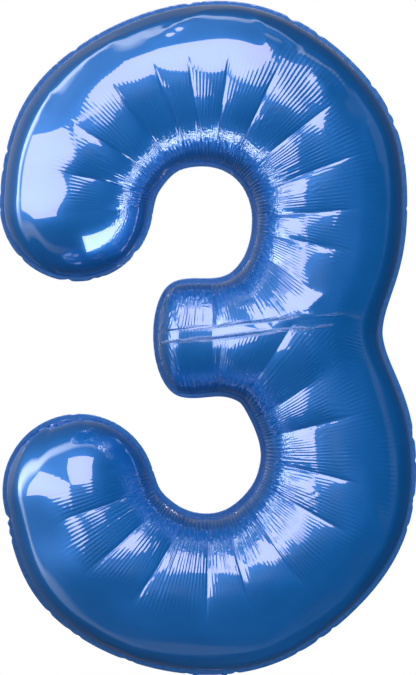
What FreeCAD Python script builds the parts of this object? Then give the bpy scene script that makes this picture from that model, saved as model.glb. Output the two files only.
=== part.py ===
"""Foil balloon in the shape of the digit 3, inflated.

Frame: millimetres, +Z up, the digit stands in the XZ plane and its front faces -Y.
The origin is the foot of the edge seam, where the inflation tail leaves the balloon.

Two flat sheets of metallised film are welded along their edge, so the inflated body is a
tube of round section. The tube is a loft through circles. Each circle stands across the
tube, and its place is given in polar form about the centre of the bend it belongs to.
"""
import FreeCAD
import Part

import math
import os

LENGTHS = {
    "film": 0.5,               # wall of a sheet
    "seam_width": 6.0,         # welded rim outside the tube
    "seam_thick": 0.6,
    "upper_x": -9.6,           # centre of the upper bend
    "upper_z": 588.0,
    "lower_x": -1.9,           # centre of the lower bend
    "lower_z": 279.7,
    "waist_x": 344.6,          # centre of the outer curve at the waist
    "waist_z": 435.1,
    "arm_x": -34.6,            # where the arm's end cap begins
    "arm_z": 428.6,
    "arm_tilt": 2.4,           # degrees, rising to the right
    "arm_cap": 32.0,           # length of the arm's end cap
    "reach": 1000.0,           # larger than the balloon
    "root_width": 32.0,        # flat channel of the valve through the seam
    "root_height": 12.0,
    "root_thick": 1.2,
    "channel_width": 24.0,
    "channel_gap": 0.6,
    "lip_width": 28.0,         # inner valve films
    "lip_length": 150.0,
    "lip_thick": 0.4,
    "lip_gap": 0.3,
    "lip_corner": 5.0,
    "play": 0.3,               # clearance between pieces that move
    "tail_width": 38.0,
    "tail_length": 62.0,
    "tail_margin": 4.0,        # weld along the tail's sides and end
    "tail_corner": 7.0,
    "tail_ply": 0.4,
    "inlet_film": 0.3,
    "inlet_width": 24.0,
    "inlet_length": 46.0,
    "inlet_radius": 5.0,       # hole for the gas nozzle
    "inlet_depth": 42.0,       # from the fold to the hole
    "fold_drop": 1.4,          # the fold line lies below the seam
    "root_clear": 0.9,         # from the fold line to the tail's first edge
    "fold_angle": 106.0,       # degrees, back from hanging straight down
}

# Circles across the tube: bend, angle in degrees, near edge and far edge from its centre.
STATIONS = [
    ("upper", 176.0, 68.5, 253.0),
    ("upper", 150.0, 67.3, 261.5),
    ("upper", 125.0, 68.0, 259.0),
    ("upper", 100.0, 66.0, 261.0),
    ("upper", 75.0, 66.0, 268.5),
    ("upper", 50.0, 67.0, 266.0),
    ("upper", 25.0, 67.3, 265.0),
    ("upper", 5.0, 68.2, 256.0),
    ("upper", -12.0, 70.4, 255.0),
    ("waist", 162.0, 129.5, 310.7),
    ("waist", 180.0, 131.3, 334.6),
    ("waist", 198.0, 126.7, 308.9),
    ("lower", 12.0, 72.6, 256.0),
    ("lower", -5.0, 72.3, 260.0),
    ("lower", -25.0, 72.5, 265.6),
    ("lower", -50.0, 74.1, 265.5),
    ("lower", -75.0, 78.4, 273.0),
    ("lower", -100.0, 80.0, 273.5),
    ("lower", -125.0, 80.4, 277.7),
    ("lower", -145.0, 81.2, 276.5),
    ("lower", -165.0, 78.9, 262.4),
]

# Circles across the arm: distance from its end cap, radius.
ARM = [(0.0, 69.5), (44.0, 69.5), (60.0, 72.5), (75.0, 81.0), (95.0, 90.5), (120.0, 97.0), (146.0, 100.5)]

RING_POINTS = 16
CAP_ANGLES = (22.0, 42.0, 60.0, 75.0, 86.0)    # degrees round each closed end
TOUCHING = 1e-6                                # millimetres

document = FreeCAD.newDocument("number_balloon")
sheet = document.addObject("Spreadsheet::Sheet", "dims")
nodes = []


def add_cell(row, alias, value):
    """Write one driving dimension and give it its name."""
    sheet.set(f"A{row}", alias)
    sheet.set(f"B{row}", str(value))
    sheet.setAlias(f"B{row}", alias)


def fill_sheet():
    """Every driving dimension, one row each."""
    values = dict(LENGTHS)
    for index, (_, angle, near, far) in enumerate(STATIONS):
        values[f"station_{index}_angle"] = angle
        values[f"station_{index}_near"] = near
        values[f"station_{index}_far"] = far
    for index, (distance, radius) in enumerate(ARM):
        values[f"arm_{index}_along"] = distance
        values[f"arm_{index}_radius"] = radius
    for row, (alias, value) in enumerate(values.items(), start=1):
        add_cell(row, alias, value)
    document.recompute()


def bind(thing, **expressions):
    """Bind properties of a document object to the sheet."""
    for name, expression in expressions.items():
        thing.setExpression(name, expression)
    return thing


def number(alias):
    """One value of the sheet."""
    return float(sheet.get(alias))


def add_ring(name, radius, middle, turn):
    """A closed smooth curve round the tube: a circle of the given radius, its plane turned about Y."""
    points = []
    for step in range(RING_POINTS):
        around = 2 * math.pi * step / RING_POINTS
        points.append(FreeCAD.Vector(radius * math.sin(around), radius * math.cos(around), 0))
    curve = Part.BSplineCurve()
    curve.interpolate(Points=points, PeriodicFlag=True)
    ring = document.addObject("Part::Feature", name)
    ring.Shape = curve.toShape()
    ring.Placement = FreeCAD.Placement(middle, FreeCAD.Rotation(FreeCAD.Vector(0, 1, 0), turn))
    return ring


def tube_circle(index):
    """Radius, middle and turn of one circle of the tube, from the sheet."""
    bend = STATIONS[index][0]
    angle = number(f"station_{index}_angle")
    near = number(f"station_{index}_near")
    far = number(f"station_{index}_far")
    outward = FreeCAD.Vector(math.cos(math.radians(angle)), 0, math.sin(math.radians(angle)))
    centre = FreeCAD.Vector(number(f"{bend}_x"), 0, number(f"{bend}_z"))
    turn = 180 - angle if bend == "waist" else -angle
    return (far - near) / 2, centre + outward * ((near + far) / 2), turn


def end_rings(name, radius, length, middle, turn):
    """Rings that close a tube with a round end; they go from its widest ring to its tip."""
    rotation = FreeCAD.Rotation(FreeCAD.Vector(0, 1, 0), turn)
    rings = []
    for index, angle in enumerate(CAP_ANGLES):
        along = rotation.multVec(FreeCAD.Vector(0, 0, length * math.sin(math.radians(angle))))
        ring_radius = radius * math.cos(math.radians(angle))
        rings.append(add_ring(f"{name}_{index}", ring_radius, middle + along, turn))
    return rings


def make_loft(name, rings):
    """A smooth closed solid through rings."""
    loft = document.addObject("Part::Loft", name)
    loft.Sections = rings
    loft.Solid = True
    return loft


def make_tube(name, grow):
    """The bent tube with its two round ends; grow is added to every radius."""
    rings = []
    for index in range(len(STATIONS)):
        radius, middle, turn = tube_circle(index)
        rings.append(add_ring(f"{name}_ring_{index}", radius + grow, middle, turn))
    radius, middle, turn = tube_circle(0)
    first = end_rings(f"{name}_first", radius + grow, radius + grow, middle, turn)
    radius, middle, turn = tube_circle(len(STATIONS) - 1)
    last = end_rings(f"{name}_last", radius + grow, -(radius + grow), middle, turn)
    return make_loft(f"{name}_tube", first[::-1] + rings + last)


def make_arm(name, grow):
    """The short middle arm of the digit with its blunt end."""
    tilt = number("arm_tilt")
    along = FreeCAD.Vector(math.cos(math.radians(tilt)), 0, math.sin(math.radians(tilt)))
    start = FreeCAD.Vector(number("arm_x"), 0, number("arm_z"))
    turn = 90 - tilt
    rings = []
    for index in range(len(ARM)):
        radius = number(f"arm_{index}_radius") + grow
        middle = start + along * number(f"arm_{index}_along")
        rings.append(add_ring(f"{name}_arm_ring_{index}", radius, middle, turn))
    cap_radius = number("arm_0_radius") + grow
    first = end_rings(f"{name}_arm_first", cap_radius, -(number("arm_cap") + grow), start, turn)
    return make_loft(f"{name}_arm", first[::-1] + rings)


def make_digit(name, grow):
    """The whole digit as one solid."""
    digit = document.addObject("Part::Fuse", name)
    digit.Base = make_tube(name, grow)
    digit.Tool = make_arm(name, grow)
    return digit


def make_box(name, size_x, size_y, size_z, low_x, low_y, low_z):
    """A box from its three sizes and its lowest corner, all expressions."""
    box = document.addObject("Part::Box", name)
    return bind(box, Length=size_x, Width=size_y, Height=size_z,
                Placement=f"placement(vector({low_x}; {low_y}; {low_z}); rotation(vector(0; 0; 1); 0))")


def cut(name, base, tool):
    """base less tool."""
    result = document.addObject("Part::Cut", name)
    result.Base = base
    result.Tool = tool
    return result


def common(name, base, tool):
    """What base and tool share."""
    result = document.addObject("Part::Common", name)
    result.Base = base
    result.Tool = tool
    return result


def round_ends(name, base, radius, level):
    """Round the edges of a plate that run along Y at one level."""
    document.recompute()
    edges = []
    for place, edge in enumerate(base.Shape.Edges, start=1):
        first, last = edge.Vertexes[0].Point, edge.Vertexes[-1].Point
        along_y = abs(first.x - last.x) < TOUCHING and abs(first.z - last.z) < TOUCHING
        if along_y and abs(first.z - level) < TOUCHING:
            edges.append((place, radius, radius))
    result = document.addObject("Part::Fillet", name)
    result.Base = base
    result.Edges = edges
    return result


def keep(thing, label):
    """Name a finished piece and list it for writing."""
    thing.Label = label
    nodes.append(thing)
    return thing


def make_envelope():
    """Front sheet, rear sheet and the welded seam round them."""
    outside = make_digit("outside", 0)
    inside = make_digit("inside", -number("film"))
    grown = make_digit("grown", number("seam_width"))
    root_hole = make_box("root_hole", "dims.root_width", "dims.root_thick", "dims.root_height",
                         "-dims.root_width / 2", "-dims.root_thick / 2", "0")
    hollow = cut("hollow", cut("shell", outside, inside), root_hole)
    for side, removed_y in (("front", "0"), ("rear", "-dims.reach")):
        other_half = make_box(f"{side}_other_half", "dims.reach", "dims.reach", "dims.reach",
                              "-dims.reach / 2", removed_y, "-dims.seam_width")
        keep(cut(f"{side}_cut", hollow, other_half), f"{side}_sheet")
    slab = make_box("seam_slab", "dims.reach", "dims.seam_thick", "dims.reach",
                    "-dims.reach / 2", "-dims.seam_thick / 2", "-dims.seam_width")
    band = cut("seam_band", common("seam_plate", grown, slab), outside)
    keep(cut("seam_cut", band, root_hole), "edge_seam")


def make_valve():
    """The flat valve channel in the seam, and the two inner films that close on each other."""
    body = make_box("root_body", "dims.root_width", "dims.root_thick", "dims.root_height",
                    "-dims.root_width / 2", "-dims.root_thick / 2", "0")
    channel = make_box("root_channel", "dims.channel_width", "dims.channel_gap", "dims.root_height",
                       "-dims.channel_width / 2", "-dims.channel_gap / 2", "0")
    keep(cut("root_cut", body, channel), "valve_root_weld")
    level = LENGTHS["root_height"] + LENGTHS["play"] + LENGTHS["lip_length"]
    for side, low_y in (("front", "-dims.lip_gap / 2 - dims.lip_thick"), ("rear", "dims.lip_gap / 2")):
        plate = make_box(f"{side}_lip", "dims.lip_width", "dims.lip_thick", "dims.lip_length",
                         "-dims.lip_width / 2", low_y, "dims.root_height + dims.play")
        keep(round_ends(f"{side}_lip_round", plate, LENGTHS["lip_corner"], level), f"valve_{side}_film")


def tail_plate(name, width, length, thick, low_y):
    """A plate that hangs down from the fold line, before it is folded back."""
    return make_box(name, width, thick, length, f"-({width}) / 2", low_y, f"-dims.root_clear - ({length})")


def fold_back(thing, label):
    """Lay a finished tail piece back behind the balloon."""
    turn = "rotation(vector(1; 0; 0); dims.fold_angle)"
    bind(thing, Placement=f"placement(vector(0; 0; -dims.fold_drop); {turn})")
    keep(thing, label)


def make_tail():
    """Two plies welded round their margin, the valve's outer films between them, and the inlet hole."""
    low = -LENGTHS["root_clear"] - LENGTHS["tail_length"]
    stack = "2 * (dims.tail_ply + dims.inlet_film)"
    inner_width = "dims.tail_width - 2 * dims.tail_margin"
    inner_length = "dims.tail_length - dims.tail_margin"
    outline = tail_plate("tail_outline", "dims.tail_width", "dims.tail_length", stack, f"-({stack}) / 2")
    rounded = round_ends("tail_rounded", outline, LENGTHS["tail_corner"], low)
    opening = tail_plate("tail_opening", inner_width, inner_length, stack, f"-({stack}) / 2")
    inner_corner = LENGTHS["tail_corner"] - LENGTHS["tail_margin"]
    inner_low = low + LENGTHS["tail_margin"]
    inner = round_ends("tail_opening_round", opening, inner_corner, inner_low)
    fold_back(cut("tail_margin", rounded, inner), "tail_edge_seam")

    front = tail_plate("front_ply", inner_width, inner_length, "dims.tail_ply",
                       "-dims.inlet_film - dims.tail_ply")
    rear = tail_plate("rear_ply", inner_width, inner_length, "dims.tail_ply", "dims.inlet_film")
    front_round = round_ends("front_ply_round", front, inner_corner, inner_low)
    nozzle = document.addObject("Part::Cylinder", "inlet_hole")
    bind(nozzle, Radius="dims.inlet_radius", Height="dims.tail_ply + dims.inlet_film",
         Placement="placement(vector(0; 0; -dims.inlet_depth); rotation(vector(1; 0; 0); 90))")
    fold_back(cut("front_ply_cut", front_round, nozzle), "tail_front_ply")
    fold_back(round_ends("rear_ply_round", rear, inner_corner, inner_low), "tail_rear_ply")

    front_film = tail_plate("inlet_front", "dims.inlet_width", "dims.inlet_length", "dims.inlet_film",
                            "-dims.inlet_film")
    rear_film = tail_plate("inlet_rear", "dims.inlet_width", "dims.inlet_length", "dims.inlet_film", "0")
    film_low = -LENGTHS["root_clear"] - LENGTHS["inlet_length"]
    front_film = round_ends("inlet_front_round", front_film, inner_corner, film_low)
    fold_back(cut("inlet_front_cut", front_film, nozzle), "inlet_front_film")
    fold_back(round_ends("inlet_rear_round", rear_film, inner_corner, film_low), "inlet_rear_film")


def check_and_write():
    """Stop on any failed object or unsound piece, then write one file for each piece."""
    document.recompute()
    failed = [thing.Name for thing in document.Objects if {"Invalid", "Error"} & set(thing.State)]
    if failed:
        raise RuntimeError("failed objects: " + ", ".join(failed))
    for node in nodes:
        shape = node.Shape
        if shape.isNull() or not shape.isValid():
            raise RuntimeError("unsound piece: " + node.Label)
    os.makedirs("parts", exist_ok=True)
    for node in nodes:
        node.Shape.exportStep(f"parts/{node.Label}.step")
        volume = node.Shape.Volume / 1000
        print(f"{node.Label}: {len(node.Shape.Solids)} solid, {volume:.1f} cm3, {node.Shape.BoundBox}")


fill_sheet()
make_envelope()
make_valve()
make_tail()
check_and_write()
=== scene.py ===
"""Foil number balloon: the film, its wrinkles and its material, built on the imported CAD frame."""

import math

import bpy
import numpy as np
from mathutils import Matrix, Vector
from mathutils.bvhtree import BVHTree


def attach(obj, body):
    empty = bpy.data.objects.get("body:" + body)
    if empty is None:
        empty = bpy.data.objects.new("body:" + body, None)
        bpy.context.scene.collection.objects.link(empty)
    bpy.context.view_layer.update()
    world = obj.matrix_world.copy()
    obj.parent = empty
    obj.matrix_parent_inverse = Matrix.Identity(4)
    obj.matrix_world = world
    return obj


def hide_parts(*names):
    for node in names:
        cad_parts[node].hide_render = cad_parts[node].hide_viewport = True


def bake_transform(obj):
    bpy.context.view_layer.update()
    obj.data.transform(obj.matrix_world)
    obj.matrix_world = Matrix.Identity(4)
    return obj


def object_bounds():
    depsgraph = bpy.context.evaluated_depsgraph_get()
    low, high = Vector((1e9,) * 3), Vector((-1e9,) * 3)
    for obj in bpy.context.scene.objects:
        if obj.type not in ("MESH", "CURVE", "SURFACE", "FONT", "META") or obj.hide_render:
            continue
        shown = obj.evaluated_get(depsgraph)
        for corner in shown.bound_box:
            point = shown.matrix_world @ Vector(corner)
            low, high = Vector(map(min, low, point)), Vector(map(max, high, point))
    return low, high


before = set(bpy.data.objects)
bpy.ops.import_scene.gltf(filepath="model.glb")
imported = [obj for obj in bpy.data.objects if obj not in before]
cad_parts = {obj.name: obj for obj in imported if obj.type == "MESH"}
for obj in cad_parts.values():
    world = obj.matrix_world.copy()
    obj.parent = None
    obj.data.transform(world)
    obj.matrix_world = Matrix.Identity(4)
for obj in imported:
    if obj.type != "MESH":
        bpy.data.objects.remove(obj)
cad_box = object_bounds()
MM = 0.001

# ---------------------------------------------------------------- the digit's bends, in mm
UPPER = np.array([-9.6, 588.0])          # centre of the upper bend
LOWER = np.array([-1.9, 279.7])          # centre of the lower bend
UPPER_ANGLES = (176, 165, 150, 135, 120, 105, 90, 75, 60, 45, 30, 15, 2, -12)
LOWER_ANGLES = (12, -2, -15, -30, -45, -60, -75, -90, -105, -120, -135, -150, -165)
TUBE_MIDDLE = 165.0                      # from a bend's centre to the middle of the tube
NOTCH = np.array([213.3, 435.1])         # outer edge at the waist
UPPER_PIT = np.array([49.1, 531.1])      # where the arm's top edge meets the upper bend
LOWER_PIT = np.array([50.8, 339.6])
JUNCTION = np.array([106.0, 446.0])      # where the three stretches of tube meet
WAIST = np.array([111.7, 435.1])         # middle of the tube behind the notch
WAIST_RADIUS = 101.0
ARM_START = np.array([-34.6, 428.6])     # where the arm's blunt end begins
ARM_TILT = math.radians(2.4)
ARM_CAP = 32.0                           # how far its end bulges past that
ARM_RADIUS = 69.5
SEAM_WIDTH = 6.0
FOLD_DEPTH = 141.0                       # degrees round the tube where a fold runs beside the outer seam
NECK_HALF = 16.0                         # half width of the neck in the seam's foot
FOLD = np.array([0.0, -1.4])             # fold line of the tail: y and z
FOLD_ANGLE = math.radians(106.0)         # from hanging straight down to folded back
TAIL_LENGTH = 62.9                       # from the fold line to its end
TAIL_HALF = 19.0
TAIL_MARGIN = 4.0                        # welded edge
TAIL_CORNER = 7.0
INLET_AT = 42.0                          # from the fold line to the hole
INLET_RADIUS = 5.0

# ---------------------------------------------------------------- mesh density
INNER_COLUMNS = 40                       # from the inner seam to the middle of the tube
OUTER_COLUMNS = 24
UPPER_ROWS = 620
LOWER_ROWS = 620
ARM_ROWS = 170
END_ROWS = 70                            # of those, on each round end
RIM_SPACING = 1.25                       # between points along the rim

# ---------------------------------------------------------------- the finest wrinkles, in the material
COMB_SPACING = 2.9                       # mm along the sheet's map
CRINKLE_HEIGHT = 0.0014                  # m, for a bump of 1
WAVE_TURNS = 20.0                        # radians of Blender's wave texture per unit at scale 1


def unit(angle):
    """Unit vector in the XZ plane."""
    return np.array([math.cos(angle), math.sin(angle)])


def smoothstep(low, high, value):
    """0 below low, 1 above high, smooth between."""
    t = np.clip((value - low) / (high - low), 0.0, 1.0)
    return t * t * (3 - 2 * t)


def spline(keys, values, at):
    """Natural cubic spline through values at keys."""
    keys = np.asarray(keys, float)
    values = np.asarray(values, float)
    if values.ndim == 1:
        values = values[:, None]
    step = np.diff(keys)
    count = len(keys)
    system = np.zeros((count, count))
    right = np.zeros((count, values.shape[1]))
    system[0, 0] = system[-1, -1] = 1.0
    for i in range(1, count - 1):
        system[i, i - 1] = step[i - 1]
        system[i, i] = 2 * (step[i - 1] + step[i])
        system[i, i + 1] = step[i]
        right[i] = 6 * ((values[i + 1] - values[i]) / step[i] - (values[i] - values[i - 1]) / step[i - 1])
    bend = np.linalg.solve(system, right)
    at = np.asarray(at, float)
    i = np.clip(np.searchsorted(keys, at) - 1, 0, count - 2)
    width = step[i][:, None]
    a = (keys[i + 1] - at)[:, None]
    b = (at - keys[i])[:, None]
    curved = (bend[i] * a ** 3 + bend[i + 1] * b ** 3) / (6 * width)
    before = values[i] / width - bend[i] * width / 6
    after = values[i + 1] / width - bend[i + 1] * width / 6
    return curved + (before * a + after * b)


def smooth(padded, sigma, reach):
    """Gaussian smoothing of rows that have reach spare rows at each end."""
    kernel = np.exp(-0.5 * (np.arange(-reach, reach + 1) / sigma) ** 2)
    kernel /= kernel.sum()
    return np.stack([np.convolve(column, kernel, mode="valid") for column in padded.T], axis=1)


def smooth_along(values, sigma):
    """Gaussian smoothing of rows, ends held."""
    reach = int(3 * sigma)
    first, last = values[:1], values[-1:]
    padded = np.concatenate([2 * first - values[reach:0:-1], values, 2 * last - values[-2:-reach - 2:-1]])
    return smooth(padded, sigma, reach)


# ---------------------------------------------------------------- reading the CAD sheet
def cad_tree(node):
    """Search tree of a CAD node's mesh, in metres."""
    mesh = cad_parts[node].data
    points = [v.co.copy() for v in mesh.vertices]
    return BVHTree.FromPolygons(points, [tuple(p.vertices) for p in mesh.polygons])


FRONT_TREE = cad_tree("front_sheet")


def edge_from(centre, direction, reach=125.0):
    """Where the sheet's edge is, going from outside towards a point inside the tube, in mm."""
    start = centre + direction * reach
    origin = Vector((start[0] * MM, -1.5 * MM, start[1] * MM))
    hit = FRONT_TREE.ray_cast(origin, Vector((-direction[0], 0, -direction[1])), reach * MM)
    if hit[0] is None:
        raise RuntimeError(f"no edge near {start}")
    return np.array([hit[0].x, hit[0].z]) / MM


# ---------------------------------------------------------------- sections across the tube
def polar_keys(centre, angles):
    """Middle point and direction of the sections of one bend."""
    return [(centre + unit(math.radians(a)) * TUBE_MIDDLE, math.radians(a)) for a in angles]


def pit_key(pit):
    """Section from an armpit to the notch."""
    across = NOTCH - pit
    return (pit + NOTCH) / 2, math.atan2(across[1], across[0])


def bend_sections(keys, rows):
    """Inner and outer edge points of rows sections, along keys."""
    middles = np.array([k[0] for k in keys])
    angles = np.unwrap([k[1] for k in keys])
    along = np.concatenate([[0], np.cumsum(np.linalg.norm(np.diff(middles, axis=0), axis=1))])
    at = np.linspace(0, along[-1], rows)
    middle = spline(along, middles, at)
    angle = spline(along, angles, at)[:, 0]
    inner = np.array([edge_from(m, -unit(a)) for m, a in zip(middle, angle)])
    outer = np.array([edge_from(m, unit(a)) for m, a in zip(middle, angle)])
    return smooth_along(inner, 7.0), smooth_along(outer, 7.0)


def round_end(inner, outer, ahead, length):
    """Sections that shrink to the tip of a round end, tip first."""
    middle, half = (inner + outer) / 2, (outer - inner) / 2
    angle = np.linspace(math.pi / 2, 0, END_ROWS, endpoint=False)[:, None]
    centre = middle + ahead * length * np.sin(angle)
    return centre - half * np.cos(angle), centre + half * np.cos(angle)


def with_end(inner, outer, length=None):
    """The sections of a stretch of tube, its round end put in front."""
    across = outer[0] - inner[0]
    half = np.linalg.norm(across) / 2
    back = inner[0] + outer[0] - inner[6] - outer[6]
    ahead = np.array([-across[1], across[0]]) / (2 * half)
    if ahead @ back < 0:
        ahead = -ahead
    first_inner, first_outer = round_end(inner[0], outer[0], ahead, length or half)
    return np.concatenate([first_inner, inner]), np.concatenate([first_outer, outer])


def arm_sections():
    """Upper and lower edge points of the arm, from its blunt end to the armpits."""
    up = unit(ARM_TILT + math.pi / 2)
    at = np.linspace(0, 1, ARM_ROWS - END_ROWS)
    last = (UPPER_PIT + LOWER_PIT) / 2
    middle = ARM_START[None] + (last - ARM_START)[None] * at[:, None]
    top = np.array([edge_from(m, up, 140.0) for m in middle])
    bottom = np.array([edge_from(m, -up, 140.0) for m in middle])
    top, bottom = smooth_along(top, 4.0), smooth_along(bottom, 4.0)
    near_end = smoothstep(0.8, 1.0, at)[:, None]
    top += near_end * (UPPER_PIT - top[-1])
    bottom += near_end * (LOWER_PIT - bottom[-1])
    return with_end(top, bottom, ARM_CAP)


def quarter(columns):
    """Angles from a seam to the middle of the tube."""
    return np.linspace(0, math.pi / 2, columns + 1)


def stretch(inner, outer, bend_rows, far_columns):
    """Grid of points (rows, columns, 2) whose last row runs from edge to junction to edge."""
    rows = len(inner)
    bent = smoothstep(rows - bend_rows, rows - 1, np.arange(rows))[:, None]
    middle = (inner + outer) / 2
    middle = middle + bent * (JUNCTION - middle)
    near_share = (1 - np.cos(quarter(INNER_COLUMNS)))[None, :, None]
    far_share = (1 - np.cos(quarter(far_columns)))[None, :, None]
    first = inner[:, None] + (middle - inner)[:, None] * near_share
    second = outer[:, None] + (middle - outer)[:, None] * far_share
    return np.concatenate([first, second[:, -2::-1]], axis=1)


# ---------------------------------------------------------------- the inflated height
def sphere_run(keys, radii, spacing=5.0):
    """Centres and radii of the spheres that fill a stretch of tube."""
    keys = np.asarray(keys, float)
    along = np.concatenate([[0], np.cumsum(np.linalg.norm(np.diff(keys, axis=0), axis=1))])
    at = np.arange(0, along[-1], spacing)
    return spline(along, keys, at), spline(along, radii, at)[:, 0]


def filled(points, centres, radii):
    """Square of the height of a run of spheres over each point, refined between spheres."""
    result = np.empty(len(points))
    for start in range(0, len(points), 20000):
        part = points[start:start + 20000]
        gap = part[:, None, :] - centres[None]
        value = radii[None] ** 2 - (gap ** 2).sum(2)
        best = np.clip(value.argmax(1), 1, len(radii) - 2)
        row = np.arange(len(part))
        before, here, after = value[row, best - 1], value[row, best], value[row, best + 1]
        curve = before - 2 * here + after
        shift = np.where(curve < -1e-9, np.clip(0.5 * (before - after) / np.minimum(curve, -1e-9), -1, 1), 0)
        result[start:start + 20000] = here - 0.25 * (before - after) * shift
    return result


def smooth_max(a, b, width):
    """The larger of two fields, with a rounded change-over."""
    near = np.maximum(width - np.abs(a - b), 0) / width
    return np.maximum(a, b) + near ** 2 * width / 4


class Skin:
    """The smooth inflated front sheet as one welded mesh, in mm."""

    def __init__(self):
        upper_in, upper_out = bend_sections(polar_keys(UPPER, UPPER_ANGLES) + [pit_key(UPPER_PIT)],
                                            UPPER_ROWS - END_ROWS)
        lower_in, lower_out = bend_sections((polar_keys(LOWER, LOWER_ANGLES)[::-1]) + [pit_key(LOWER_PIT)],
                                            LOWER_ROWS - END_ROWS)
        ease = smoothstep(0.85, 1.0, np.linspace(0, 1, len(upper_in)))[:, None]
        upper_in += ease * (UPPER_PIT - upper_in[-1])
        upper_out += ease * (NOTCH - upper_out[-1])
        lower_in += ease * (LOWER_PIT - lower_in[-1])
        lower_out += ease * (NOTCH - lower_out[-1])
        upper_run = self.half_run(upper_in, upper_out)
        lower_run = self.half_run(lower_in, lower_out)
        self.upper = with_end(upper_in, upper_out)
        self.lower = with_end(lower_in, lower_out)
        self.arm = arm_sections()
        self.make_grids()
        self.set_height(upper_run, lower_run, self.arm_spheres())
        self.weld()

    @staticmethod
    def half_run(inner, outer):
        """Spheres of one bend, from its round end to the waist."""
        keys = np.concatenate([((inner + outer) / 2)[:-60:25], [WAIST]])
        radii = np.concatenate([(np.linalg.norm(outer - inner, axis=1) / 2)[:-60:25], [WAIST_RADIUS]])
        return sphere_run(keys, radii, 4.0)

    @staticmethod
    def arm_spheres():
        """Spheres of the arm: a flat blunt end, then a flare into the waist."""
        axis = unit(ARM_TILT)
        along = np.array([-5.0, 12.0, 30.0, 44.0, 60.0, 75.0, 95.0, 120.0, 146.0])
        radii = np.array([ARM_RADIUS] * 4 + [72.5, 79.0, 88.0, 96.0, 100.0])
        return sphere_run(ARM_START + axis * along[:, None], radii, 4.0)

    def make_grids(self):
        """The three grids with the angle round the tube of each column."""
        far = (OUTER_COLUMNS, OUTER_COLUMNS, INNER_COLUMNS)
        runs = ((self.upper, 110), (self.lower, 110), (self.arm, 60))
        self.grids = [stretch(*run, rows, columns) for (run, rows), columns in zip(runs, far)]
        self.phi = []
        for grid, columns in zip(self.grids, far):
            phi = np.concatenate([quarter(INNER_COLUMNS), math.pi - quarter(columns)[-2::-1]])
            self.phi.append(np.broadcast_to(phi, grid.shape[:2]).copy())

    def set_height(self, upper, lower, arm):
        """Height of every grid point, brought to zero at the seam."""
        self.heights = []
        for index, (grid, phi) in enumerate(zip(self.grids, self.phi)):
            flat = grid.reshape(-1, 2)
            square = smooth_max(filled(flat, *upper), filled(flat, *lower), 3000.0)
            square = smooth_max(square, filled(flat, *arm), 2500.0)
            square = square.reshape(grid.shape[:2])
            if index == 2:
                square = self.blunt(grid, square)
            across = phi / (math.pi / 2) - 1
            near, far = np.clip(-across, 0, 1) ** 2, np.clip(across, 0, 1) ** 2
            square = square - square[:, :1] * near - square[:, -1:] * far
            self.heights.append(np.sqrt(np.maximum(square, 0)))
        self.phi[2] = np.minimum(self.phi[2], math.pi - self.phi[2])

    @staticmethod
    def blunt(grid, square):
        """The arm's end is an ellipsoid: shorter along the arm than across it."""
        axis, up = unit(ARM_TILT), unit(ARM_TILT + math.pi / 2)
        offset = grid - ARM_START
        along, across = offset @ axis, offset @ up
        cap = ARM_RADIUS ** 2 * (1 - (np.minimum(along, 0) / ARM_CAP) ** 2) - across ** 2
        return np.where(along < 0, cap, square)

    def outline(self):
        """The seam line as one closed loop of points in the XZ plane."""
        upper_in, upper_out = self.upper
        lower_in, lower_out = self.lower
        top, bottom = self.arm
        return np.concatenate([upper_out[:-1], lower_out[:0:-1], lower_in[:-1], bottom[:0:-1],
                               top[:-1], upper_in[:0:-1]])

    def weld(self):
        """One list of vertices and faces from the three grids."""
        points, phis, faces, start = [], [], [], 0
        for grid, phi, height in zip(self.grids, self.phi, self.heights):
            rows, columns = grid.shape[:2]
            points.append(np.stack([grid[..., 0], -height, grid[..., 1]], axis=2).reshape(-1, 3))
            phis.append(phi.reshape(-1))
            number = np.arange(rows * columns).reshape(rows, columns) + start
            quads = np.stack([number[:-1, :-1], number[:-1, 1:], number[1:, 1:], number[1:, :-1]], axis=2)
            corner = grid[rows // 2, 0]
            along, across = grid[rows // 2 + 1, 0] - corner, grid[rows // 2, -1] - corner
            turned = along[0] * across[1] - along[1] * across[0] < 0
            faces.append(quads.reshape(-1, 4)[:, ::-1] if turned else quads.reshape(-1, 4))
            start += rows * columns
        points, phis, faces = np.concatenate(points), np.concatenate(phis), np.concatenate(faces)
        keys = np.round(points * 2000).astype(np.int64)
        _, first, back = np.unique(keys, axis=0, return_index=True, return_inverse=True)
        self.points, self.angle = points[first], phis[first]
        self.faces = back.reshape(-1)[faces]


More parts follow.
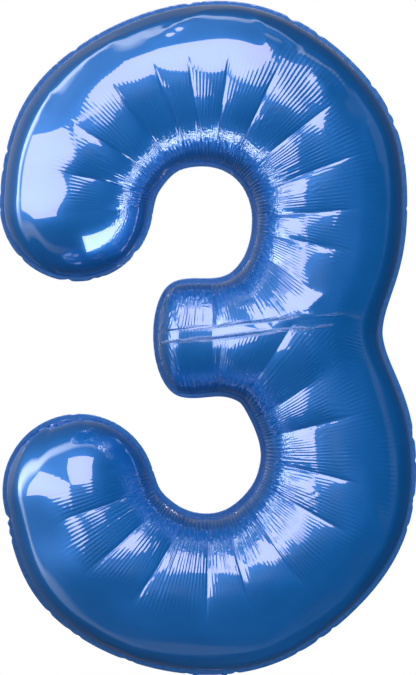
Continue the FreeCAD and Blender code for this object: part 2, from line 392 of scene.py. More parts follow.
# ---------------------------------------------------------------- wrinkles
class Wrinkles:
    """Creases, ripples and slack of one sheet; every field is a height in mm along the surface normal."""

    # Creases of the inner half: bend, angle at the near end, near radius, angle at the far end, far radius.
    CREASES = [
        ("upper", 179, 84, 181, 150), ("upper", 162, 86, 165, 170), ("upper", 145, 84, 146, 176),
        ("upper", 124, 86, 126, 192), ("upper", 106, 84, 109, 200), ("upper", 93, 96, 96, 206),
        ("upper", 79, 90, 80, 205), ("upper", 60, 86, 62, 204), ("upper", 41, 84, 39, 212),
        ("upper", 19, 84, 20, 214), ("upper", -3, 84, 1, 204), ("upper", -19, 92, -15, 205),
        ("upper", -36, 96, -36, 150), ("upper", -62, 78, -60, 130), ("upper", -84, 84, -83, 150),
        ("lower", 84, 84, 83, 150), ("lower", 60, 84, 58, 140), ("lower", 38, 84, 36, 150),
        ("lower", 18, 92, 16, 214), ("lower", -6, 90, -10, 200), ("lower", -28, 86, -28, 196),
        ("lower", -52, 88, -53, 200), ("lower", -74, 92, -74, 206), ("lower", -90, 96, -91, 210),
        ("lower", -112, 90, -118, 204), ("lower", -135, 96, -137, 196), ("lower", -154, 94, -157, 176),
        ("lower", -172, 92, -176, 150),
    ]
    # Long pulled creases on the outer half: x and z of both ends, strength.
    STREAKS = [
        (50, 835, 115, 790, 1.3), (110, 790, 175, 735, 1.3), (125, 760, 155, 730, 1.1),
        (-80, 800, -25, 825, 1.0), (-60, 810, 5, 840, 0.8), (60, 810, 95, 790, 0.8),
        (-160, 770, -110, 805, 0.9), (195, 700, 205, 640, 0.8), (-215, 705, -195, 745, 0.8),
        (110, 460, 190, 455, 1.0), (110, 460, 150, 485, 0.8), (205, 230, 215, 160, 0.7),
        (-150, 60, -80, 25, 0.9), (30, 20, 110, 45, 0.8), (150, 75, 185, 110, 0.8),
    ]
    PUFF = 0.28                              # how far a panel bulges between two creases, per mm of width
    CREASE_DEPTH = 1.25
    CREASE_WIDTH = 1.5
    STREAK_HEIGHT = 2.2                      # of a streak of strength 1
    STREAK_WIDTH = 5.0

    def __init__(self, skin, seed):
        self.random = np.random.default_rng(seed)
        self.plan = skin.points[:, [0, 2]]
        self.angle = skin.angle
        split = (self.plan - ARM_START) @ unit(math.pi / 2 + math.radians(6.0)) - 4.0
        self.upper_share = smoothstep(-10, 10, split)

    def bends(self):
        """Name, centre and share of each point for both bends."""
        return ("upper", UPPER, self.upper_share), ("lower", LOWER, 1 - self.upper_share)

    def polar(self, centre):
        """Angle in degrees and radius about a bend's centre."""
        offset = self.plan - centre
        return np.degrees(np.arctan2(offset[:, 1], offset[:, 0])), np.linalg.norm(offset, axis=1)

    def crease_places(self, bend):
        """Creases of one bend, sorted by angle."""
        rows = [c[1:] for c in self.CREASES if c[0] == bend]
        return sorted(rows)

    def panels(self, bend, centre):
        """Puffed panels between the creases, and the sharp creases themselves."""
        turn, radius = self.unrolled(bend, centre)
        places = self.crease_places(bend)
        lines = np.array([np.interp(radius, [near, far], [a, b]) for a, near, b, far in places])
        lines = np.sort(lines, axis=0)
        index = np.clip((turn[None] > lines).sum(0), 1, len(places) - 1)
        row = np.arange(len(turn))
        low, high = lines[index - 1, row], lines[index, row]
        share = np.clip((turn - low) / (high - low), 0, 1)
        width = np.radians(high - low) * radius
        puff = width * share * (1 - share)
        sharp = np.zeros(len(turn))
        for a, near, b, far in places:
            line = np.interp(radius, [near, far], [a, b])
            distance = np.radians(turn - line) * radius
            along = smoothstep(near - 8, near + 8, radius) * (1 - smoothstep(far - 25, far, radius))
            sharp -= along * np.exp(-np.abs(distance) / self.CREASE_WIDTH)
        return puff, sharp, turn, radius

    def noise(self, phase, strength, waves, count=12):
        """Sum of seeded sines of phase; waves gives the range of their numbers per unit."""
        total = np.zeros(len(phase))
        for _ in range(count):
            number = self.random.uniform(*waves)
            total += np.sin(phase * number + self.random.uniform(0, 2 * math.pi))
        return strength * total / math.sqrt(count / 2)

    def ripples(self, turn, radius):
        """Fine radial ripples; their number round the bend grows outward, so their width stays alike."""
        phase = np.radians(turn)
        depth = np.degrees(self.angle)
        drift = self.noise(phase, 0.5, (3, 9), 6) + self.noise(radius / 40, 0.25, (0.6, 1.6), 4)
        near = np.sin(phase * 118 + drift * 3) * np.exp(-((depth - 30) / 15) ** 2) * 0.60
        middle = np.sin(phase * 172 + drift * 4 + 1.0) * np.exp(-((depth - 56) / 16) ** 2) * 0.24
        far = np.sin(phase * 232 + drift * 5 + 2.0) * np.exp(-((depth - 88) / 18) ** 2) * 0.13
        seam = np.sin(phase * 92 + drift * 2) * np.exp(-((depth - 10) / 9) ** 2) * 0.34
        waist = smoothstep(60, 150, self.plan[:, 0]) * smoothstep(200, 90, np.abs(self.plan[:, 1] - NOTCH[1]))
        outer_half = smoothstep(84, 100, depth) * smoothstep(146, 132, depth)
        wide = np.sin(phase * 300 + drift * 4) * outer_half * waist * 0.32
        patchy = 0.70 + self.noise(phase, 0.30, (5, 40), 8) + self.noise(radius / 10, 0.22, (0.5, 2.5), 6)
        fine = (near + middle + far + seam + wide) * np.clip(patchy, 0.12, 1.7)
        return fine + self.crumples(phase, radius, depth)

    def crumples(self, phase, radius, depth):
        """Small sharp facets in a zigzag band near the inner seam, and in scattered patches."""
        shift = 1.3 * np.abs(((radius / 7.0) % 2) - 1) + self.noise(phase, 0.35, (9, 30), 5)
        zigzag = np.abs(((phase * 30 + shift) % 2) - 1) - 0.5
        sway = 0.8 * np.sin(phase * 47) + self.noise(phase, 0.5, (20, 60), 5)
        cross = np.abs(((radius / 5.5 + sway) % 2) - 1) - 0.5
        band = np.exp(-((depth - 38) / 9) ** 2)
        scatter = self.noise(phase, 0.6, (6, 18), 6) + self.noise(radius / 12, 0.5, (0.6, 2.0), 5)
        scatter = np.clip(scatter - 0.5, 0, 1) * smoothstep(40, 60, depth) * smoothstep(112, 90, depth)
        return (zigzag + 0.8 * cross) * (0.85 * band + 0.45 * scatter)

    def slack(self):
        """Long soft folds that run with the edge on the outer half, and a slow unevenness all over."""
        x, z = self.plan[:, 0], self.plan[:, 1]
        depth = np.degrees(self.angle)
        total = np.zeros(len(x))
        for _ in range(14):
            turn = self.random.uniform(0, math.pi)
            length = self.random.uniform(70, 170)
            total += np.sin((x * math.cos(turn) + z * math.sin(turn)) * 2 * math.pi / length
                            + self.random.uniform(0, 2 * math.pi)) * length / 170
        total *= 0.75
        warp = self.noise(x / 60, 0.5, (0.5, 1.5), 4) + self.noise(z / 60, 0.5, (0.5, 1.5), 4)
        outer_half = smoothstep(100, 125, depth) * smoothstep(178, 160, depth)
        folds = np.sin(depth * math.pi / 17 + 2.2 * warp) * outer_half
        brink = -np.abs(depth - FOLD_DEPTH - 3.0 * warp) / 6.0
        return total * np.sin(self.angle) + 0.5 * folds + 2.0 * np.exp(brink) * smoothstep(108, 130, depth)

    def streaks(self):
        """The long pulled creases, each a thin ridge that runs out at both ends."""
        total = np.zeros(len(self.angle))
        for x0, z0, x1, z1, strength in self.STREAKS:
            start, end = np.array([x0, z0]), np.array([x1, z1]) + self.random.uniform(-3, 3, 2)
            length = np.linalg.norm(end - start)
            forward = (end - start) / length
            offset = self.plan - start
            along = offset @ forward
            across = offset @ np.array([-forward[1], forward[0]]) + 1.6 * np.sin(along / 11)
            fade = smoothstep(-4, 14, along) * smoothstep(length + 4, length - 14, along)
            total += self.STREAK_HEIGHT * strength * fade * np.exp(-np.abs(across) / self.STREAK_WIDTH)
        return total

    @staticmethod
    def away_from_end(bend, turn):
        """1 along the tube, fading out on its round end."""
        return smoothstep(190, 170, turn) if bend == "upper" else smoothstep(-180, -162, turn)

    def film_map(self):
        """For the material: place along the bend and round the tube in mm, and how strongly it is combed."""
        depth = np.degrees(self.angle)
        around = np.zeros(len(depth))
        comb = np.zeros(len(depth))
        outward = smoothstep(40, 130, self.plan[:, 0])
        for bend, centre, share in self.bends():
            turn, _ = self.unrolled(bend, centre)
            around += share * np.radians(turn) * 110.0
            comb += share * self.away_from_end(bend, turn)
        one_bend = smoothstep(0.5, 1.0, np.abs(2 * self.upper_share - 1))
        comb *= one_bend * smoothstep(2, 14, depth) * smoothstep(112 + 34 * outward, 92 + 34 * outward, depth)
        speck = 0.36 * one_bend * np.exp(-((depth - 47) / 10) ** 2)
        return np.stack([around, depth * 1.65, comb], axis=1), speck

    def unrolled(self, bend, centre):
        """Angle and radius about a bend's centre, the angle without a jump on the tube."""
        turn, radius = self.polar(centre)
        if bend == "upper":
            return np.where(turn < -120, turn + 360, turn), radius
        return np.where(turn > 120, turn - 360, turn), radius

    def height(self):
        """The whole displacement along the normal."""
        result = np.zeros(len(self.angle))
        depth = np.degrees(self.angle)
        panel_share = smoothstep(6, 34, depth) * (1 - smoothstep(84, 112, depth))
        one_bend = smoothstep(0.3, 1.0, np.abs(2 * self.upper_share - 1))
        sharp_share = smoothstep(6, 30, depth) * (1 - smoothstep(104, 128, depth)) * (0.35 + 0.65 * one_bend)
        for bend, centre, share in self.bends():
            puff, sharp, turn, radius = self.panels(bend, centre)
            panels = self.PUFF * puff * panel_share + self.CREASE_DEPTH * sharp * sharp_share
            result += share * (panels + self.ripples(turn, radius)) * self.away_from_end(bend, turn)
        result += self.slack() + self.streaks()
        return result * smoothstep(0, 5, depth) * (1 - smoothstep(177, 180, depth))


def vertex_normals(points, faces):
    """Area-weighted vertex normals of a quad mesh."""
    a, b, c, d = (points[faces[:, k]] for k in range(4))
    face = np.cross(c - a, d - b)
    normals = np.zeros_like(points)
    for k in range(4):
        np.add.at(normals, faces[:, k], face)
    return normals / np.maximum(np.linalg.norm(normals, axis=1, keepdims=True), 1e-12)


def make_mesh(name, points, faces, material):
    """Mesh object from points in mm, shaded smooth."""
    mesh = bpy.data.meshes.new(name)
    mesh.from_pydata([tuple(p) for p in points * MM], [], [tuple(int(i) for i in f) for f in faces])
    mesh.validate()
    mesh.update()
    mesh.shade_smooth()
    mesh.materials.append(material)
    piece = bpy.data.objects.new(name, mesh)
    bpy.context.scene.collection.objects.link(piece)
    return piece


def clean_faces(faces):
    """Quads with repeated corners as triangles, empty ones dropped."""
    result = []
    for face in faces.tolist():
        corners = list(dict.fromkeys(face))
        if len(corners) >= 3:
            result.append(corners)
    return result


def make_sheet(skin, name, side, seed, material):
    """One wrinkled sheet: side is 1 for the front and -1 for the rear."""
    normals, faces = vertex_normals(skin.points, skin.faces), skin.faces
    if normals[skin.points[:, 1].argmin(), 1] > 0:
        normals, faces = -normals, faces[:, ::-1]
    wrinkles = Wrinkles(skin, seed)
    points = skin.points + normals * wrinkles.height()[:, None]
    faces = faces if side > 0 else faces[:, ::-1]
    points = points * np.array([1, side, 1])
    piece = make_mesh(name, points, clean_faces(faces), material)
    film, speck = wrinkles.film_map()
    piece.data.attributes.new("film", "FLOAT_VECTOR", "POINT").data.foreach_set("vector", film.ravel())
    piece.data.attributes.new("speck", "FLOAT", "POINT").data.foreach_set("value", speck)
    return piece


# ---------------------------------------------------------------- seam, neck, tail and valve films
def ring_faces(rows, columns, closed_rows=False):
    """Quads of a grid whose columns close on themselves; its rows may too."""
    number = np.arange(rows * columns).reshape(rows, columns)
    ahead = np.roll(number, -1, axis=0) if closed_rows else number[1:]
    here = number if closed_rows else number[:-1]
    quads = np.stack([here, np.roll(here, -1, axis=1), np.roll(ahead, -1, axis=1), ahead], axis=2)
    return quads.reshape(-1, 4)


def outside_out(points, faces):
    """Faces of a closed form, turned so that their normals point out of it."""
    a, b, c, d = (points[faces[:, k]] for k in range(4))
    volume = np.einsum("ij,ij->i", a, np.cross(b, c)).sum() + np.einsum("ij,ij->i", a, np.cross(c, d)).sum()
    return faces if volume > 0 else faces[:, ::-1]


def end_faces(first, columns):
    """Quads that close a flat ring of an even number of points, front side to rear side."""
    half = columns // 2
    return np.array([[first + k, first + k + 1, first + columns - 2 - k, first + columns - 1 - k]
                     for k in range(half - 1)])


def closed_strip(name, rows, material):
    """A thin strip from flat rings, closed at both ends."""
    columns = len(rows[0])
    points = np.array(rows).reshape(-1, 3)
    first, last = end_faces(0, columns), end_faces((len(rows) - 1) * columns, columns)
    faces = np.concatenate([ring_faces(len(rows), columns), first[:, ::-1], last])
    return make_mesh(name, points, outside_out(points, faces), material)


def smooth_loop(points, sigma):
    """Gaussian smoothing of a closed loop."""
    reach = int(4 * sigma)
    return smooth(np.concatenate([points[-reach:], points, points[:reach]]), sigma, reach)


def even_loop(points, spacing):
    """Points at an even spacing round a closed loop."""
    closed = np.concatenate([points, points[:1]])
    along = np.concatenate([[0], np.cumsum(np.linalg.norm(np.diff(closed, axis=0), axis=1))])
    at = np.linspace(0, along[-1], int(along[-1] / spacing), endpoint=False)
    return np.stack([np.interp(at, along, closed[:, k]) for k in range(2)], axis=1)


def dips(count, amount, width, random):
    """A loop of values near 1 with a few narrow dips."""
    values = np.ones(count)
    place = np.arange(count)
    for _ in range(amount):
        gap = np.abs(place - random.uniform(0, count))
        gap = np.minimum(gap, count - gap)
        values -= random.uniform(0.12, 0.38) * np.exp(-(gap / (width * random.uniform(0.6, 1.5))) ** 2)
    return values


def make_rim(skin, material):
    """The welded rim round the sheets: a crimped strip, puckered along the outer curves."""
    random = np.random.default_rng(5)
    seam = even_loop(skin.outline(), RIM_SPACING)
    count = len(seam)
    round_line = smooth_loop(seam, 4.0)
    tangent = np.roll(round_line, -1, axis=0) - np.roll(round_line, 1, axis=0)
    tangent /= np.linalg.norm(tangent, axis=1, keepdims=True)
    outward = smooth_loop(np.stack([-tangent[:, 1], tangent[:, 0]], axis=1), 3.0)
    area = 0.5 * np.sum(seam[:, 0] * np.roll(seam[:, 1], -1) - seam[:, 1] * np.roll(seam[:, 0], -1))
    outward *= -1 if area > 0 else 1
    bend = smooth_loop(np.roll(tangent, -8, axis=0) - np.roll(tangent, 8, axis=0), 10.0)
    convex = smoothstep(-0.02, 0.06, -np.sum(bend * outward, axis=1))
    along = np.arange(count) * RIM_SPACING
    wave = np.zeros(count)
    for length in (9.4, 13.1, 17.7, 23.9):
        wave += np.sin(along * 2 * math.pi / length + random.uniform(0, 6.28) + 1.7 * np.sin(along / 61.0))
    pucker = 0.03 * wave + 0.05 * convex * wave
    width = SEAM_WIDTH * np.where(convex > 0.5, dips(count, 70, 2.2, random), 1.0)
    width = smooth_loop(width[:, None], 1.0)[:, 0]
    neck = smoothstep(NECK_HALF + 8, NECK_HALF, np.abs(seam[:, 0])) * (seam[:, 1] < 20)
    half = 0.30 + 0.42 * neck
    crimp = 0.012 * np.sin(along * 2 * math.pi / 3.75)
    shares = np.array([-0.1, 0.15, 0.4, 0.65, 0.88, 1.0, 1.0, 0.88, 0.65, 0.4, 0.15, -0.1])
    sides = np.array([-1, -1, -1, -1, -1, -0.5, 0.5, 1, 1, 1, 1, 1])
    rows = np.zeros((count, len(shares), 3))
    for k, (share, side) in enumerate(zip(shares, sides)):
        base = seam if share < 0 else seam + (round_line - seam) * min(share * 2, 1)
        place = base + outward * (width * share)[:, None]
        rows[:, k, 0], rows[:, k, 2] = place[:, 0], place[:, 1]
        thick = half + crimp * (abs(share - 0.5) < 0.4)
        rows[:, k, 1] = side * thick + pucker * max(share, 0) ** 1.5 * (1 - neck)
    points = rows.reshape(-1, 3)
    faces = outside_out(points, ring_faces(count, len(shares), closed_rows=True))
    return make_mesh("rim_film", points, faces, material)


def tail_path(distance):
    """Point (y, z) and normal of the tail's middle line, at a distance from the fold line; folded back."""
    radius = 0.8
    turn_height = FOLD[1] + 1.327 * radius
    ahead = np.array([math.sin(FOLD_ANGLE), -math.cos(FOLD_ANGLE)])
    arc_start, arc_end = -radius * FOLD_ANGLE / 2, radius * FOLD_ANGLE / 2
    centre = np.array([radius, turn_height])
    if distance < arc_start:
        return np.array([0.0, turn_height + (arc_start - distance)]), np.array([-1.0, 0.0])
    turn = min((distance - arc_start) / radius, FOLD_ANGLE)
    normal = np.array([-math.cos(turn), -math.sin(turn)])
    point = centre + radius * normal
    if distance > arc_end:
        point = point + ahead * (distance - arc_end)
    return point, normal


def tail_half_width(distance):
    """Half width of the tail, flared at the seam and rounded at its end."""
    flare = 3.0 * smoothstep(6.0, -3.0, distance) if distance < 6 else 0.0
    past = max(distance - (TAIL_LENGTH - TAIL_CORNER), 0.0)
    round_off = TAIL_CORNER - math.sqrt(max(TAIL_CORNER ** 2 - past ** 2, 0.0))
    return TAIL_HALF + flare - round_off


def tail_row(distance, x, offset):
    """Flat ring across the tail: x there and back, each point moved off the middle line by its offset."""
    point, normal = tail_path(distance)
    row = np.zeros((2 * len(x), 3))
    row[:, 0] = np.concatenate([x, x[::-1]])
    row[:, 1] = point[0] + normal[0] * offset
    row[:, 2] = point[1] + normal[1] * offset
    return row


def make_tail(foil, milky):
    """Two plies welded round their margin, loose between, with the inlet hole in the front ply."""
    random = np.random.default_rng(21)
    distances = np.concatenate([np.linspace(-5, 2, 18), np.linspace(2.5, TAIL_LENGTH - 0.02, 150)])
    across = np.linspace(-1, 1, 80)
    phases = random.uniform(0, 2 * math.pi, 6)
    rows = []
    for distance in distances:
        half = tail_half_width(distance)
        x = across * half
        inside = np.minimum(half - np.abs(x), max(TAIL_LENGTH - distance, 0))
        loose = smoothstep(TAIL_MARGIN - 0.6, TAIL_MARGIN + 5.0, inside) * smoothstep(3.0, 14.0, distance)
        crimp = 0.06 * np.sin(distance * 2 * math.pi / 1.9) * (1 - smoothstep(3.2, 4.0, inside))
        fold = (0.35 * np.sin(x / 3.1 + distance / 9.0 + phases[0])
                + 0.28 * np.sin(distance / 4.3 - x / 7.0 + phases[1])
                + 0.2 * np.sin(x / 1.7 - distance / 13.0 + phases[2]))
        curl = 0.9 * (distance / TAIL_LENGTH) ** 2 * np.sin(x / 14.0 + 1.0) * smoothstep(4.0, 20.0, distance)
        hole = 1 - smoothstep(INLET_RADIUS - 0.25, INLET_RADIUS + 0.25, np.hypot(x, distance - INLET_AT))
        front = 0.30 + crimp + loose * (0.95 + fold) - 0.8 * hole
        rear = 0.30 + crimp + loose * (0.85 + 0.8 * fold[::-1])
        edge = np.minimum(1.0, (half - np.abs(x)) / 0.5 + 0.4)
        offset = np.concatenate([front * edge + curl, (-rear * edge + curl)[::-1]])
        rows.append(tail_row(distance, x, offset))
    tail = closed_strip("tail_film", rows, foil)
    tail.data.materials.append(milky)
    hole_point, _ = tail_path(INLET_AT)
    for polygon in tail.data.polygons:
        near = (polygon.center / MM).xyz
        gap = math.hypot(near.x, math.hypot(near.y - hole_point[0], near.z - hole_point[1]))
        polygon.material_index = int(gap < INLET_RADIUS and polygon.normal.z < 0)
    return tail


def film_strip(name, half_width, low, high, corner, middle, half_thick, material):
    """A thin upright strip with round upper corners; middle(x, z) gives its y."""
    levels = np.concatenate([np.linspace(low, high - corner, 60), high - corner
                             + corner * np.sin(np.linspace(0.08, math.pi / 2 - 0.02, 14))])
    columns = 24
    across = np.linspace(-1, 1, columns)
    rows = []
    for z in levels:
        past = max(z - (high - corner), 0.0)
        half = half_width - corner + math.sqrt(max(corner ** 2 - past ** 2, 0.0))
        x = across * half
        y = middle(x, z)
        row = np.zeros((2 * columns, 3))
        row[:, 0] = np.concatenate([x, x[::-1]])
        row[:, 1] = np.concatenate([y - half_thick, (y + half_thick)[::-1]])
        row[:, 2] = z
        rows.append(row)
    return closed_strip(name, rows, material)


def make_lip(name, side, milky):
    """One inner valve film, rippled and a little away at its tip; side is -1 for the front one."""
    def middle(x, z):
        up = (z - 12.3) / 150.0
        return side * (0.38 + 0.5 * up * (1 + 0.6 * np.sin(x / 4.2 + side + z / 17.0))
                       + 0.45 * up * np.sin(z / 11.0 + side) ** 2)
    return film_strip(name, 14.0, 12.3, 162.3, 5.0, middle, 0.15, milky)


def make_valve_root(milky):
    """The flat channel welded into the seam: two walls joined at their sides, open at both ends."""
    columns = 48
    turn = np.linspace(0, 2 * math.pi, columns, endpoint=False)
    outer = np.stack([15.6 * np.sign(np.cos(turn)) * np.abs(np.cos(turn)) ** 0.5,
                      0.52 * np.sign(np.sin(turn)) * np.abs(np.sin(turn)) ** 0.4], axis=1)
    inner = np.stack([12.0 * np.cos(turn), 0.22 * np.sin(turn)], axis=1)
    rows = []
    heights = np.linspace(0.4, 12.0, 14)
    for z, ring in [(z, outer) for z in heights] + [(z, inner) for z in heights[::-1]]:
        ripple = 1 + 0.04 * math.sin(z * 2.1)
        rows.append(np.stack([ring[:, 0], ring[:, 1] * ripple, np.full(columns, z)], axis=1))
    points = np.array(rows).reshape(-1, 3)
    faces = outside_out(points, ring_faces(len(rows), columns, closed_rows=True))
    return make_mesh("valve_root", points, faces, milky)


def make_inlet_sleeve(milky):
    """The valve's outer films inside the tail, from the seam to just past the hole."""
    across = np.linspace(-12, 12, 24)
    rows = []
    for distance in np.linspace(1.2, 46.5, 60):
        gap = 0.10 + 0.05 * np.sin(across / 2.3 + distance / 5.0)
        hole = smoothstep(INLET_RADIUS + 0.6, INLET_RADIUS - 0.2, np.hypot(across, distance - INLET_AT))
        offset = np.concatenate([gap - hole * (gap + 0.55), (-gap - hole * 0.62)[::-1]])
        rows.append(tail_row(distance, across, offset))
    return closed_strip("inlet_sleeve", rows, milky)


# ---------------------------------------------------------------- materials
def new_material(name):
    """Empty node material with its shader."""
    material = bpy.data.materials.new(name)
    material.use_nodes = True
    nodes = material.node_tree.nodes
    return material, nodes, material.node_tree.links, nodes["Principled BSDF"]


def add_node(nodes, kind, **values):
    """New shader node with some of its inputs set; an underscore stands for a space in their names."""
    node = nodes.new("ShaderNode" + kind)
    for name, value in values.items():
        node.inputs[name.replace("_", " ")].default_value = value
    return node


def combine(nodes, links, operation, first, second):
    """Two values joined by an operation."""
    node = add_node(nodes, "Math")
    node.operation = operation
    links.new(first, node.inputs[0])
    links.new(second, node.inputs[1])
    return node.outputs["Value"]


def cloudy_tint(nodes, links, shader, stops, **cloud_values):
    """Colour that wanders between two tints with a noise over the object; returns the noise."""
    place = add_node(nodes, "TexCoord")
    cloud = add_node(nodes, "TexNoise", **cloud_values)
    links.new(place.outputs["Object"], cloud.inputs["Vector"])
    tint = add_node(nodes, "ValToRGB")
    for element, (position, colour) in zip(tint.color_ramp.elements, stops):
        element.position = position
        element.color = (*colour, 1)
    links.new(cloud.outputs["Fac"], tint.inputs["Fac"])
    links.new(tint.outputs["Color"], shader.inputs["Base Color"])
    return cloud.outputs["Fac"]


def foil_material(name, low, high, scale, metallic):
    """Metallised film: a soft tinted metal under a sharp clear skin; low and high are its two tints."""
    material, nodes, links, shader = new_material(name)
    cloud = cloudy_tint(nodes, links, shader, ((0.3, low), (0.7, high)), Scale=scale, Detail=5.0)
    rough = add_node(nodes, "MapRange", To_Min=0.36, To_Max=0.46)
    links.new(cloud, rough.inputs["Value"])
    links.new(rough.outputs["Result"], shader.inputs["Roughness"])
    shader.inputs["Metallic"].default_value = metallic
    shader.inputs["Coat Weight"].default_value = 1.0
    shader.inputs["Coat Roughness"].default_value = 0.03
    shader.inputs["Coat IOR"].default_value = 2.2
    return material


def add_crinkle(material):
    """Fine combs across the film and small facets near the inner seam, laid out by the sheet's own map."""
    nodes, links = material.node_tree.nodes, material.node_tree.links
    shader = nodes["Principled BSDF"]
    film = add_node(nodes, "Attribute")
    film.attribute_name = "film"
    speck = add_node(nodes, "Attribute")
    speck.attribute_name = "speck"
    place = film.outputs["Vector"]
    split = add_node(nodes, "SeparateXYZ")
    links.new(place, split.inputs["Vector"])
    combs = comb_lines(nodes, links, place)
    facets = stretched_noise(nodes, links, place, (0.22, 0.30, 0.0), 1.0)
    patches = stretched_noise(nodes, links, place, (0.022, 0.030, 0.0), 2.0)
    patchy = add_node(nodes, "MapRange", From_Min=0.42, From_Max=0.60)
    links.new(patches, patchy.inputs["Value"])
    comb_share = combine(nodes, links, "MULTIPLY", split.outputs["Z"], patchy.outputs["Result"])
    comb_height = combine(nodes, links, "MULTIPLY", combs, comb_share)
    facet_height = combine(nodes, links, "MULTIPLY", facets, speck.outputs["Fac"])
    bump = add_node(nodes, "Bump", Strength=1.0, Distance=CRINKLE_HEIGHT)
    links.new(combine(nodes, links, "ADD", comb_height, facet_height), bump.inputs["Height"])
    links.new(bump.outputs["Normal"], shader.inputs["Normal"])
    links.new(bump.outputs["Normal"], shader.inputs["Coat Normal"])


def comb_lines(nodes, links, source):
    """Fine straight lines over a map in mm, a little uneven."""
    lines = add_node(nodes, "TexWave", Scale=2 * math.pi / (WAVE_TURNS * COMB_SPACING), Distortion=1.6,
                     Detail=1.0, Detail_Scale=0.25)
    lines.bands_direction = "X"
    links.new(source, lines.inputs["Vector"])
    shallow = add_node(nodes, "MapRange", To_Max=0.20)
    links.new(lines.outputs["Fac"], shallow.inputs["Value"])
    return shallow.outputs["Result"]


def stretched_noise(nodes, links, source, scale, detail):
    """Noise over a map in mm, stretched by its scale."""
    spread = add_node(nodes, "Mapping", Scale=scale)
    links.new(source, spread.inputs["Vector"])
    noise = add_node(nodes, "TexNoise", Scale=1.0, Detail=detail)
    links.new(spread.outputs["Vector"], noise.inputs["Vector"])
    return noise.outputs["Fac"]


def milky_material():
    """Clear valve film gone cloudy: whitish, glossy, partly see-through."""
    material, nodes, links, shader = new_material("valve_film")
    stops = ((0.0, (0.62, 0.66, 0.72)), (1.0, (0.82, 0.85, 0.89)))
    cloudy_tint(nodes, links, shader, stops, Scale=120.0)
    shader.inputs["Roughness"].default_value = 0.28
    shader.inputs["Transmission Weight"].default_value = 0.25
    return material


# ---------------------------------------------------------------- studio
SOFT_WHITE = (1.0, 0.82, 0.88)
# Grey of the room by direction: front to back, left to right, and floor to ceiling.
ROOM_DEPTH = ((0.0, 0.16), (0.3, 0.22), (0.42, 0.30), (0.47, 3.6),
              (0.53, 3.6), (0.58, 0.08), (0.85, 0.10), (1.0, 0.30))
ROOM_SIDE = ((0.0, 1.0), (0.5, 1.0), (0.72, 0.30), (0.9, 0.04), (1.0, 0.03))
ROOM_HEIGHT = ((0.0, 0.04), (0.25, 0.16), (0.42, 0.45), (0.56, 1.25), (0.8, 1.0), (1.0, 0.45))


def area_light(name, place, target, size, power, colour=(1, 1, 1)):
    """Rectangular softbox that faces a point."""
    data = bpy.data.lights.new(name, "AREA")
    data.shape = "RECTANGLE"
    data.size, data.size_y = size
    data.energy = power
    data.color = colour
    lamp = bpy.data.objects.new(name, data)
    lamp.location = place
    lamp.rotation_euler = (Vector(target) - Vector(place)).to_track_quat("-Z", "Y").to_euler()
    bpy.context.scene.collection.objects.link(lamp)
    return lamp


def make_world():
    """White for the camera; for reflections a dim room with a bright ring round it, weaker at the right."""
    world = bpy.data.worlds.new("studio")
    bpy.context.scene.world = world
    world.use_nodes = True
    nodes, links = world.node_tree.nodes, world.node_tree.links
    nodes.clear()
    out = add_node(nodes, "OutputWorld")
    mix = add_node(nodes, "MixShader")
    seen = add_node(nodes, "Background", Color=(1, 1, 1, 1))
    room = add_node(nodes, "Background")
    place = add_node(nodes, "TexCoord")
    split = add_node(nodes, "SeparateXYZ")
    links.new(place.outputs["Generated"], split.inputs["Vector"])
    depth = grey_ramp(nodes, links, split.outputs["Y"], ROOM_DEPTH)
    side = grey_ramp(nodes, links, split.outputs["X"], ROOM_SIDE)
    height = grey_ramp(nodes, links, split.outputs["Z"], ROOM_HEIGHT)
    links.new(depth, room.inputs["Color"])
    links.new(combine(nodes, links, "MULTIPLY", side, height), room.inputs["Strength"])
    path = add_node(nodes, "LightPath")
    links.new(path.outputs["Is Camera Ray"], mix.inputs["Fac"])
    links.new(room.outputs["Background"], mix.inputs[1])
    links.new(seen.outputs["Background"], mix.inputs[2])
    links.new(mix.outputs["Shader"], out.inputs["Surface"])


def grey_ramp(nodes, links, source, stops):
    """Grey values over a direction's part from -1 to 1."""
    shift = add_node(nodes, "MapRange", From_Min=-1.0, From_Max=1.0)
    links.new(source, shift.inputs["Value"])
    ramp = add_node(nodes, "ValToRGB")
    elements = ramp.color_ramp.elements
    while len(elements) < len(stops):
        elements.new(0.5)
    for element, (position, value) in zip(elements, stops):
        element.position = position
        element.color = (value, value, value, 1)
    links.new(shift.outputs["Result"], ramp.inputs["Fac"])
    return ramp.outputs["Color"]


def make_floor():
    """Plain pale floor far below the floating balloon."""
    bpy.ops.mesh.primitive_circle_add(vertices=96, radius=1.5, fill_type="NGON", location=(0, 0, -1.2))
    floor = bpy.context.object
    floor.name = "floor"
    material, _, _, shader = new_material("floor")
    shader.inputs["Base Color"].default_value = (0.85, 0.85, 0.85, 1)
    shader.inputs["Roughness"].default_value = 0.7
    floor.visible_glossy = False
    floor.data.materials.append(material)


def make_camera(low, high):
    """Long lens straight at the front, the digit filling the frame."""
    centre = [(a + b) / 2 for a, b in zip(low, high)]
    data = bpy.data.cameras.new("camera")
    data.lens = 100.0
    data.sensor_fit = "VERTICAL"
    data.sensor_height = 24.0
    distance = high[2] / data.sensor_height * data.lens
    camera = bpy.data.objects.new("camera", data)
    camera.location = (centre[0], -distance, 0.43)
    camera.rotation_euler = (math.pi / 2, 0, 0)
    bpy.context.scene.collection.objects.link(camera)
    bpy.context.scene.camera = camera


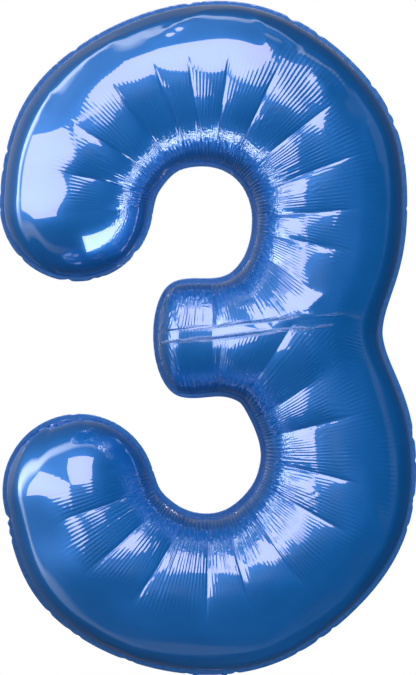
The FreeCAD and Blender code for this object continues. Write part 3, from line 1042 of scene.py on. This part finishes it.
def make_studio():
    """Softboxes at the left, above and behind, fills that show in no reflection, and two small cards."""
    make_world()
    make_floor()
    area_light("left_box", (-1.8, -1.26, 0.75), (0, 0, 0.45), (1.8, 1.5), 28, SOFT_WHITE)
    area_light("top_box", (-0.1, -1.6, 2.05), (0, 0, 0.55), (2.1, 1.45), 32, SOFT_WHITE)
    area_light("back_box", (0.0, 2.6, 0.5), (0, 0, 0.45), (1.5, 1.1), 34, SOFT_WHITE)
    fill = area_light("fill_box", (1.6, -2.4, 0.1), (0.05, 0, 0.4), (2.0, 2.0), 80, SOFT_WHITE)
    back_fill = area_light("back_fill", (-1.6, 2.2, 0.2), (0, 0, 0.4), (2.0, 2.0), 50, SOFT_WHITE)
    fill.visible_glossy = back_fill.visible_glossy = False
    cards = (area_light("low_card", (-0.045, -0.080, 0.518), (-0.045, -0.080, 0.68), (0.21, 0.036), 0.10),
             area_light("side_card", (0.030, -0.074, 0.590), (-0.10, -0.074, 0.590), (0.036, 0.16), 0.05))
    for card in cards:
        card.visible_camera = card.visible_diffuse = False


# ---------------------------------------------------------------- the object
def place_piece(piece, body, slot, *nodes):
    """Let a piece ride on its body and stand for its CAD nodes."""
    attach(piece, body)
    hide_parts(*nodes)


foil = foil_material("blue_foil", (0.004, 0.160, 0.530), (0.008, 0.190, 0.615), 9.0, 0.5)
seam_foil = foil_material("seam_foil", (0.010, 0.150, 0.500), (0.018, 0.190, 0.580), 160.0, 0.4)
tail_foil = foil_material("tail_foil", (0.004, 0.160, 0.530), (0.008, 0.190, 0.615), 60.0, 0.5)
add_crinkle(foil)
milky = milky_material()
skin = Skin()
place_piece(make_sheet(skin, "front_film", 1, 3, foil), "envelope", "blue_foil", "front_sheet")
place_piece(make_sheet(skin, "rear_film", -1, 11, foil), "envelope", "blue_foil", "rear_sheet")
place_piece(make_rim(skin, seam_foil), "envelope", "seam_foil", "edge_seam")
place_piece(make_valve_root(milky), "envelope", "valve_film", "valve_root_weld")
place_piece(make_lip("front_lip_film", -1, milky), "front_lip", "valve_film", "valve_front_film")
place_piece(make_lip("rear_lip_film", 1, milky), "rear_lip", "valve_film", "valve_rear_film")
place_piece(make_inlet_sleeve(milky), "tail", "valve_film", "inlet_front_film", "inlet_rear_film")
tail = make_tail(tail_foil, milky)
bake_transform(tail)
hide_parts("tail_edge_seam", "tail_front_ply", "tail_rear_ply")
make_studio()
make_camera(*cad_box)
bpy.context.scene.view_settings.view_transform = "Standard"
